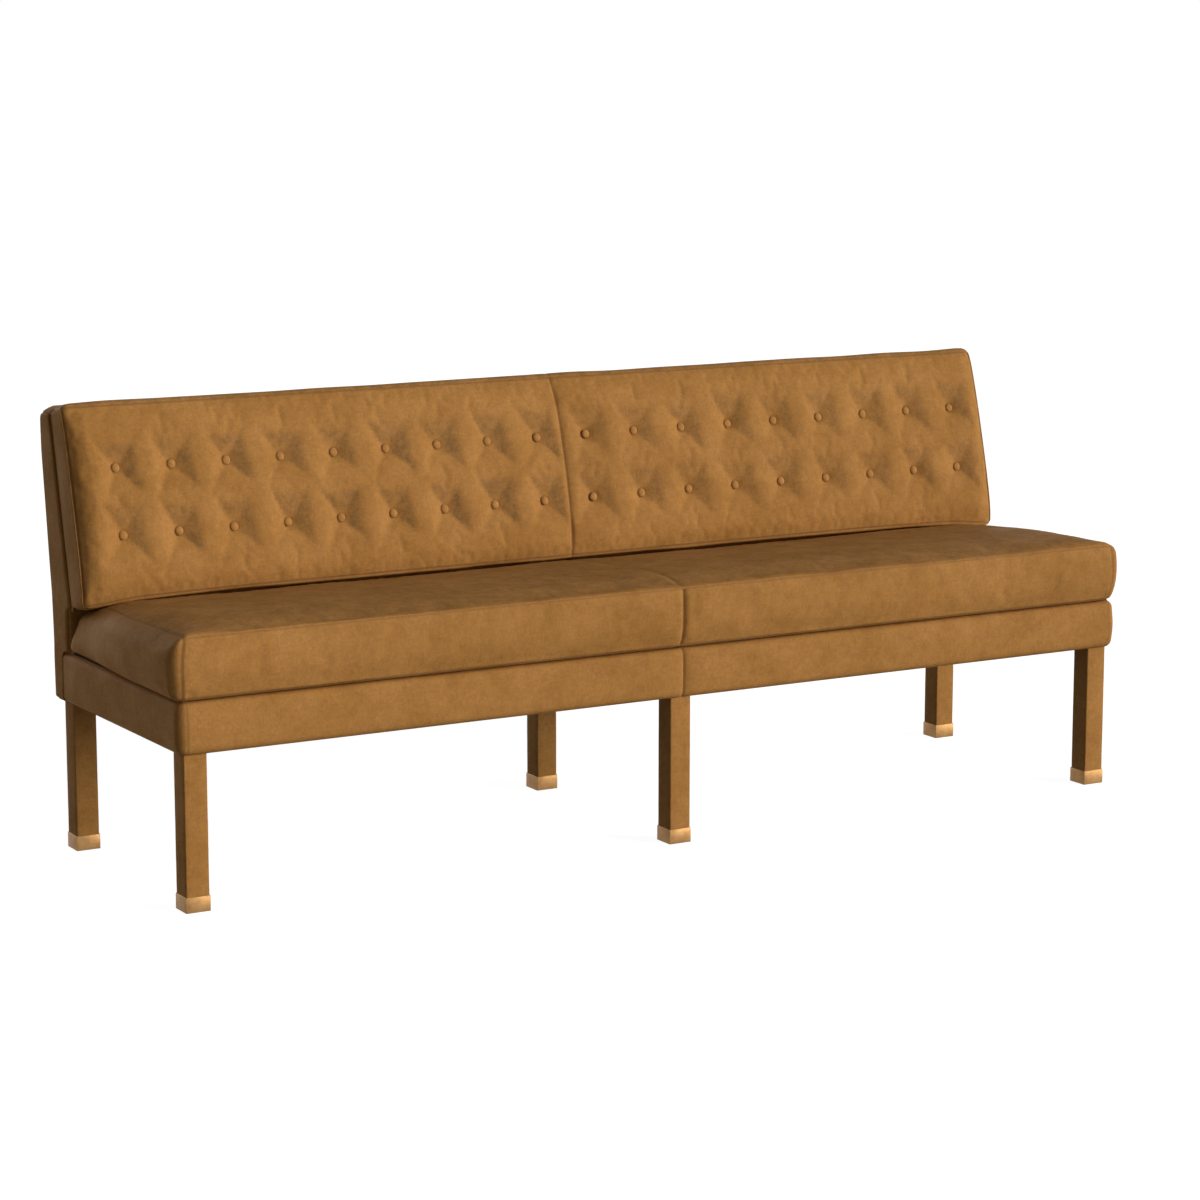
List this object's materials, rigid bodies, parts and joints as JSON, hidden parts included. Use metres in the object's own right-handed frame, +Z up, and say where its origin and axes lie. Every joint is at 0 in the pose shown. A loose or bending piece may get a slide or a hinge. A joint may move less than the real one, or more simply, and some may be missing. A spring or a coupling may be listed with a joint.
{
  "type": "upholstered banquette bench",
  "caption": "Long upholstered banquette bench in tan leather with a buttoned raked back, a loose box seat cushion and square leather-wrapped legs in brass caps",
  "frame": {"origin": "on the floor, at the middle of the bench's width and depth", "axes": "+X runs along the bench to the viewer's right, +Y to the rear of the seat, +Z up; the sitter faces -Y"},
  "size_m": [2.088, 0.6656, 0.8518],
  "materials": {
    "tan_leather": "satin",
    "cap_brass": "polished",
    "frame_timber": "matte",
    "board_timber": "matte",
    "webbing": "matte",
    "deck_cloth": "matte",
    "dust_cloth": "matte",
    "wadding": "matte",
    "foam": "matte",
    "zip": "matte",
    "twine": "matte",
    "washer_steel": "satin",
    "fixing_steel": "satin"
  },
  "bodies": {
    "bench": {"leg_front_left": "frame_timber", "leg_wrap_front_left": "tan_leather", "leg_cap_front_left": "cap_brass", "leg_front_middle": "frame_timber", "leg_wrap_front_middle": "tan_leather", "leg_cap_front_middle": "cap_brass", "leg_front_right": "frame_timber", "leg_wrap_front_right": "tan_leather", "leg_cap_front_right": "cap_brass", "leg_rear_left": "frame_timber", "leg_wrap_rear_left": "tan_leather", "leg_cap_rear_left": "cap_brass", "leg_rear_middle": "frame_timber", "leg_wrap_rear_middle": "tan_leather", "leg_cap_rear_middle": "cap_brass", "leg_rear_right": "frame_timber", "leg_wrap_rear_right": "tan_leather", "leg_cap_rear_right": "cap_brass", "front_post_left": "frame_timber", "back_post_left": "frame_timber", "cross_rail_left": "frame_timber", "front_post_middle": "frame_timber", "back_post_middle": "frame_timber", "cross_rail_middle": "frame_timber", "front_post_right": "frame_timber", "back_post_right": "frame_timber", "cross_rail_right": "frame_timber", "front_rail_left": "frame_timber", "rear_rail_left": "frame_timber", "side_rail_left": "frame_timber", "back_lower_rail_left": "frame_timber", "back_top_rail_left": "frame_timber", "front_rail_right": "frame_timber", "rear_rail_right": "frame_timber", "side_rail_right": "frame_timber", "back_lower_rail_right": "frame_timber", "back_top_rail_right": "frame_timber", "back_board": "board_timber", "pad_board": "board_timber", "seat_webbing": "webbing", "deck_cloth": "deck_cloth", "dust_cloth": "dust_cloth", "apron_wadding": "wadding", "outer_back_wadding": "wadding", "apron_cover": "tan_leather", "outer_back_cover": "tan_leather", "pad_cover": "tan_leather", "pad_foam": "foam", "buttons_lower_row": "tan_leather", "buttons_upper_row": "tan_leather", "button_twines": "twine", "twine_washers": "washer_steel", "frame_dowels": "frame_timber", "leg_bolts": "fixing_steel", "cap_screws": "fixing_steel", "pad_screws": "fixing_steel"},
    "seat_cushion": {"cushion_cover": "tan_leather", "cushion_foam": "foam", "cushion_zip": "zip"}
  },
  "joints": [
    {"name": "cushion_slide", "type": "slide", "parent": "bench", "child": "seat_cushion", "axis": [0, -1, 0], "range_m": [0, 0.24]}
  ]
}
